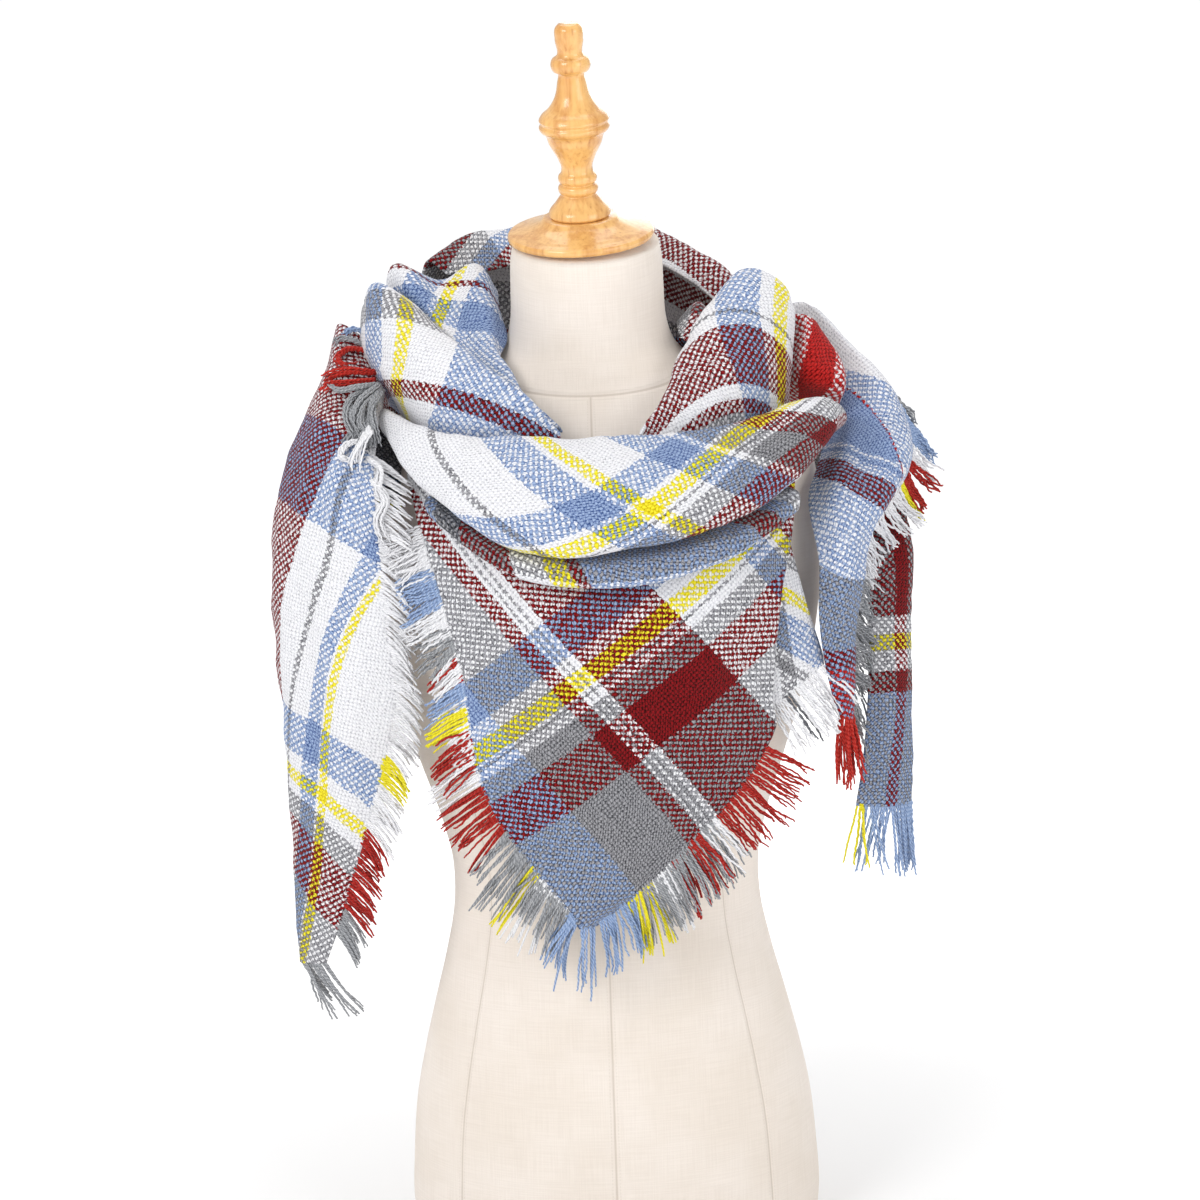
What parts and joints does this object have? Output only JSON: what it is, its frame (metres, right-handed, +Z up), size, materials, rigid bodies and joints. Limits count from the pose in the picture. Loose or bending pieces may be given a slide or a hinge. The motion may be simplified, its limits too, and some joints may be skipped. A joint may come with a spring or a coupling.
{
  "type": "blanket scarf on a dress form",
  "caption": "Fringed plaid blanket scarf wound round the neck of a limbless linen dress form, with its point at the front and its ends hanging over the shoulders.",
  "frame": {"origin": "middle of the dress form's flat base, where it rests on a table", "axes": "+X to the viewer's right, +Y towards the back of the form, +Z up"},
  "size_m": [0.5082, 0.3388, 0.9363],
  "materials": {
    "form_linen": "plain cream linen jersey, matt",
    "cap_wood": "turned beech with honey varnish, satin",
    "scarf_cloth": "loose brushed plaid weave, matt",
    "fringe_yarn": "loose twisted yarn, matt"
  },
  "bodies": {
    "root": {"form_body": "form_linen", "form_neck_cap": "cap_wood", "form_finial": "cap_wood", "scarf_front_panel": "scarf_cloth", "scarf_front_under_layer": "scarf_cloth", "scarf_cowl_lower_fold": "scarf_cloth", "scarf_cowl_roll": "scarf_cloth", "scarf_left_shoulder_outer": "scarf_cloth", "scarf_left_shoulder_inner": "scarf_cloth", "scarf_left_under_fold": "scarf_cloth", "scarf_nape_band": "scarf_cloth", "scarf_right_under_band": "scarf_cloth", "scarf_right_shoulder_wrap": "scarf_cloth", "scarf_right_shoulder_roll": "scarf_cloth", "scarf_back_drape": "scarf_cloth", "scarf_back_cross": "scarf_cloth", "scarf_left_tail": "scarf_cloth", "scarf_right_tail": "scarf_cloth", "scarf_right_tail_under": "scarf_cloth", "fringe_front_left": "fringe_yarn", "fringe_front_lower_left": "fringe_yarn", "fringe_front_lower_right": "fringe_yarn", "fringe_under_layer": "fringe_yarn", "fringe_left_shoulder": "fringe_yarn", "fringe_left_tail_top": "fringe_yarn", "fringe_left_tail": "fringe_yarn", "fringe_left_tail_tip": "fringe_yarn", "fringe_right_tail": "fringe_yarn", "fringe_right_tail_tip": "fringe_yarn", "fringe_right_tail_under": "fringe_yarn"}
  },
  "joints": []
}
